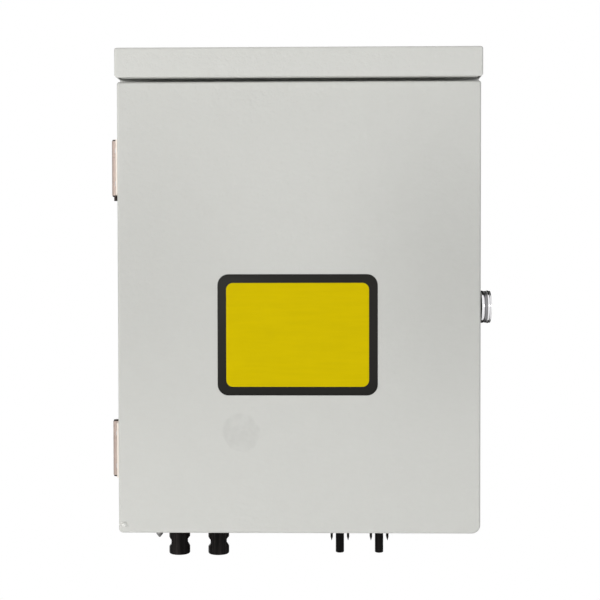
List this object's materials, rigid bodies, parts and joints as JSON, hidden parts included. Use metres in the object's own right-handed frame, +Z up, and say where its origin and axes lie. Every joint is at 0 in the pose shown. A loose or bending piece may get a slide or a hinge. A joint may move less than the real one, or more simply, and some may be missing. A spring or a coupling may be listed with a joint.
{
  "type": "dc combiner box",
  "caption": "Wall-mounted sheet-steel DC combiner box with a hinged door under a rain hood, a side cam lock, fuse holders, a breaker, a surge arrester and panel connectors below.",
  "frame": {"origin": "centre of the four wall bolt holes, on the back face that lies on the wall", "axes": "+X to the right as seen from the front, +Y into the wall, +Z up"},
  "size_m": [0.3184, 0.19, 0.4367],
  "materials": {
    "grey_paint": "satin powder coat with a faint orange peel",
    "hood_paint": "satin powder coat with a faint orange peel",
    "door_paint": "satin powder coat with a faint orange peel",
    "zinc_steel": "bright zinc plate",
    "galvanised_sheet": "galvanised sheet",
    "hinge_steel": "zinc plate, slightly warm",
    "chrome_zinc": "polished chrome plate",
    "black_rubber": "matt",
    "device_grey": "moulded, fine texture",
    "drawer_grey": "moulded, fine texture",
    "fuse_ceramic": "matt tube with bright caps",
    "toggle_black": "moulded",
    "cartridge_plastic": "moulded, fine texture",
    "copper_bar": "bare copper",
    "terminal_steel": "nickel plate",
    "brass_bar": "bare brass",
    "post_plastic": "moulded",
    "tinned_copper": "tin plate",
    "connector_black": "moulded",
    "gland_grey": "moulded",
    "wire_red": "extruded sheath",
    "wire_black": "extruded sheath",
    "wire_green": "extruded sheath, green with yellow stripe"
  },
  "bodies": {
    "enclosure": {"enclosure_body": "grey_paint", "rain_hood": "hood_paint", "hood_rivets": "zinc_steel", "plate_standoffs": "zinc_steel", "mounting_plate": "galvanised_sheet", "plate_nuts": "zinc_steel", "din_rails": "galvanised_sheet", "rail_screws": "zinc_steel", "fuse_bases": "device_grey", "comb_busbars": "copper_bar", "breaker_body": "device_grey", "spd_base": "device_grey", "terminal_screws": "terminal_steel", "earth_bar": "brass_bar", "earth_bar_posts": "post_plastic", "earth_bar_screws": "zinc_steel", "earth_stud": "zinc_steel", "earth_nuts": "zinc_steel", "earth_lug": "tinned_copper", "wide_connectors": "connector_black", "slim_connectors": "connector_black", "connector_locknuts": "connector_black", "connector_seals": "black_rubber", "connector_contacts": "tinned_copper", "gland_bodies": "gland_grey", "gland_caps": "gland_grey", "gland_locknuts": "gland_grey", "gland_seals": "black_rubber", "red_wires": "wire_red", "black_wires": "wire_black", "earth_wires": "wire_green", "lock_housing": "chrome_zinc", "lock_gasket": "black_rubber", "lock_nut": "zinc_steel", "dust_cap_rivet": "chrome_zinc", "hinge_body_leaves": "hinge_steel", "hinge_pins": "hinge_steel", "body_hinge_rivets": "zinc_steel"},
    "door": {"door_panel": "door_paint", "door_gasket": "black_rubber", "door_striker": "zinc_steel", "hinge_door_leaves": "hinge_steel", "door_hinge_rivets": "zinc_steel"},
    "lock_rotor": {"lock_plug": "chrome_zinc", "lock_cam": "zinc_steel", "cam_screw": "zinc_steel"},
    "dust_cap": {"dust_cap": "chrome_zinc"},
    "breaker_toggle": {"breaker_toggle": "toggle_black"},
    "fuse_drawer_1": {"fuse_drawer_1": "drawer_grey", "fuse_link_1": "fuse_ceramic"},
    "fuse_drawer_2": {"fuse_drawer_2": "drawer_grey", "fuse_link_2": "fuse_ceramic"},
    "fuse_drawer_3": {"fuse_drawer_3": "drawer_grey", "fuse_link_3": "fuse_ceramic"},
    "fuse_drawer_4": {"fuse_drawer_4": "drawer_grey", "fuse_link_4": "fuse_ceramic"},
    "spd_cartridge_1": {"spd_cartridge_1": "cartridge_plastic"},
    "spd_cartridge_2": {"spd_cartridge_2": "cartridge_plastic"},
    "spd_cartridge_3": {"spd_cartridge_3": "cartridge_plastic"}
  },
  "joints": [
    {"name": "door_swing", "type": "hinge", "parent": "enclosure", "child": "door", "pos_m": [-0.15345, -0.1604, 0], "axis": [0, 0, -1], "range_deg": [0, 160]},
    {"name": "lock_turn", "type": "hinge", "parent": "enclosure", "child": "lock_rotor", "pos_m": [0.14, -0.144, -0.01285], "axis": [-1, 0, 0], "range_deg": [0, 90]},
    {"name": "dust_cap_turn", "type": "hinge", "parent": "enclosure", "child": "dust_cap", "pos_m": [0.1607, -0.144, -0.00265], "axis": [1, 0, 0], "range_deg": [0, 110]},
    {"name": "toggle_throw", "type": "hinge", "parent": "enclosure", "child": "breaker_toggle", "pos_m": [0, -0.077, -0.03], "axis": [1, 0, 0], "range_deg": [0, 70]},
    {"name": "fuse_drawer_1_swing", "type": "hinge", "parent": "enclosure", "child": "fuse_drawer_1", "pos_m": [-0.081, -0.057, 0.061], "axis": [1, 0, 0], "range_deg": [0, 90]},
    {"name": "fuse_drawer_2_swing", "type": "hinge", "parent": "enclosure", "child": "fuse_drawer_2", "pos_m": [-0.063, -0.057, 0.061], "axis": [1, 0, 0], "range_deg": [0, 90]},
    {"name": "fuse_drawer_3_swing", "type": "hinge", "parent": "enclosure", "child": "fuse_drawer_3", "pos_m": [0.063, -0.057, 0.061], "axis": [1, 0, 0], "range_deg": [0, 90]},
    {"name": "fuse_drawer_4_swing", "type": "hinge", "parent": "enclosure", "child": "fuse_drawer_4", "pos_m": [0.081, -0.057, 0.061], "axis": [1, 0, 0], "range_deg": [0, 90]},
    {"name": "spd_cartridge_1_pull", "type": "slide", "parent": "enclosure", "child": "spd_cartridge_1", "axis": [0, -1, 0], "range_m": [0, 0.04]},
    {"name": "spd_cartridge_2_pull", "type": "slide", "parent": "enclosure", "child": "spd_cartridge_2", "axis": [0, -1, 0], "range_m": [0, 0.04]},
    {"name": "spd_cartridge_3_pull", "type": "slide", "parent": "enclosure", "child": "spd_cartridge_3", "axis": [0, -1, 0], "range_m": [0, 0.04]}
  ]
}
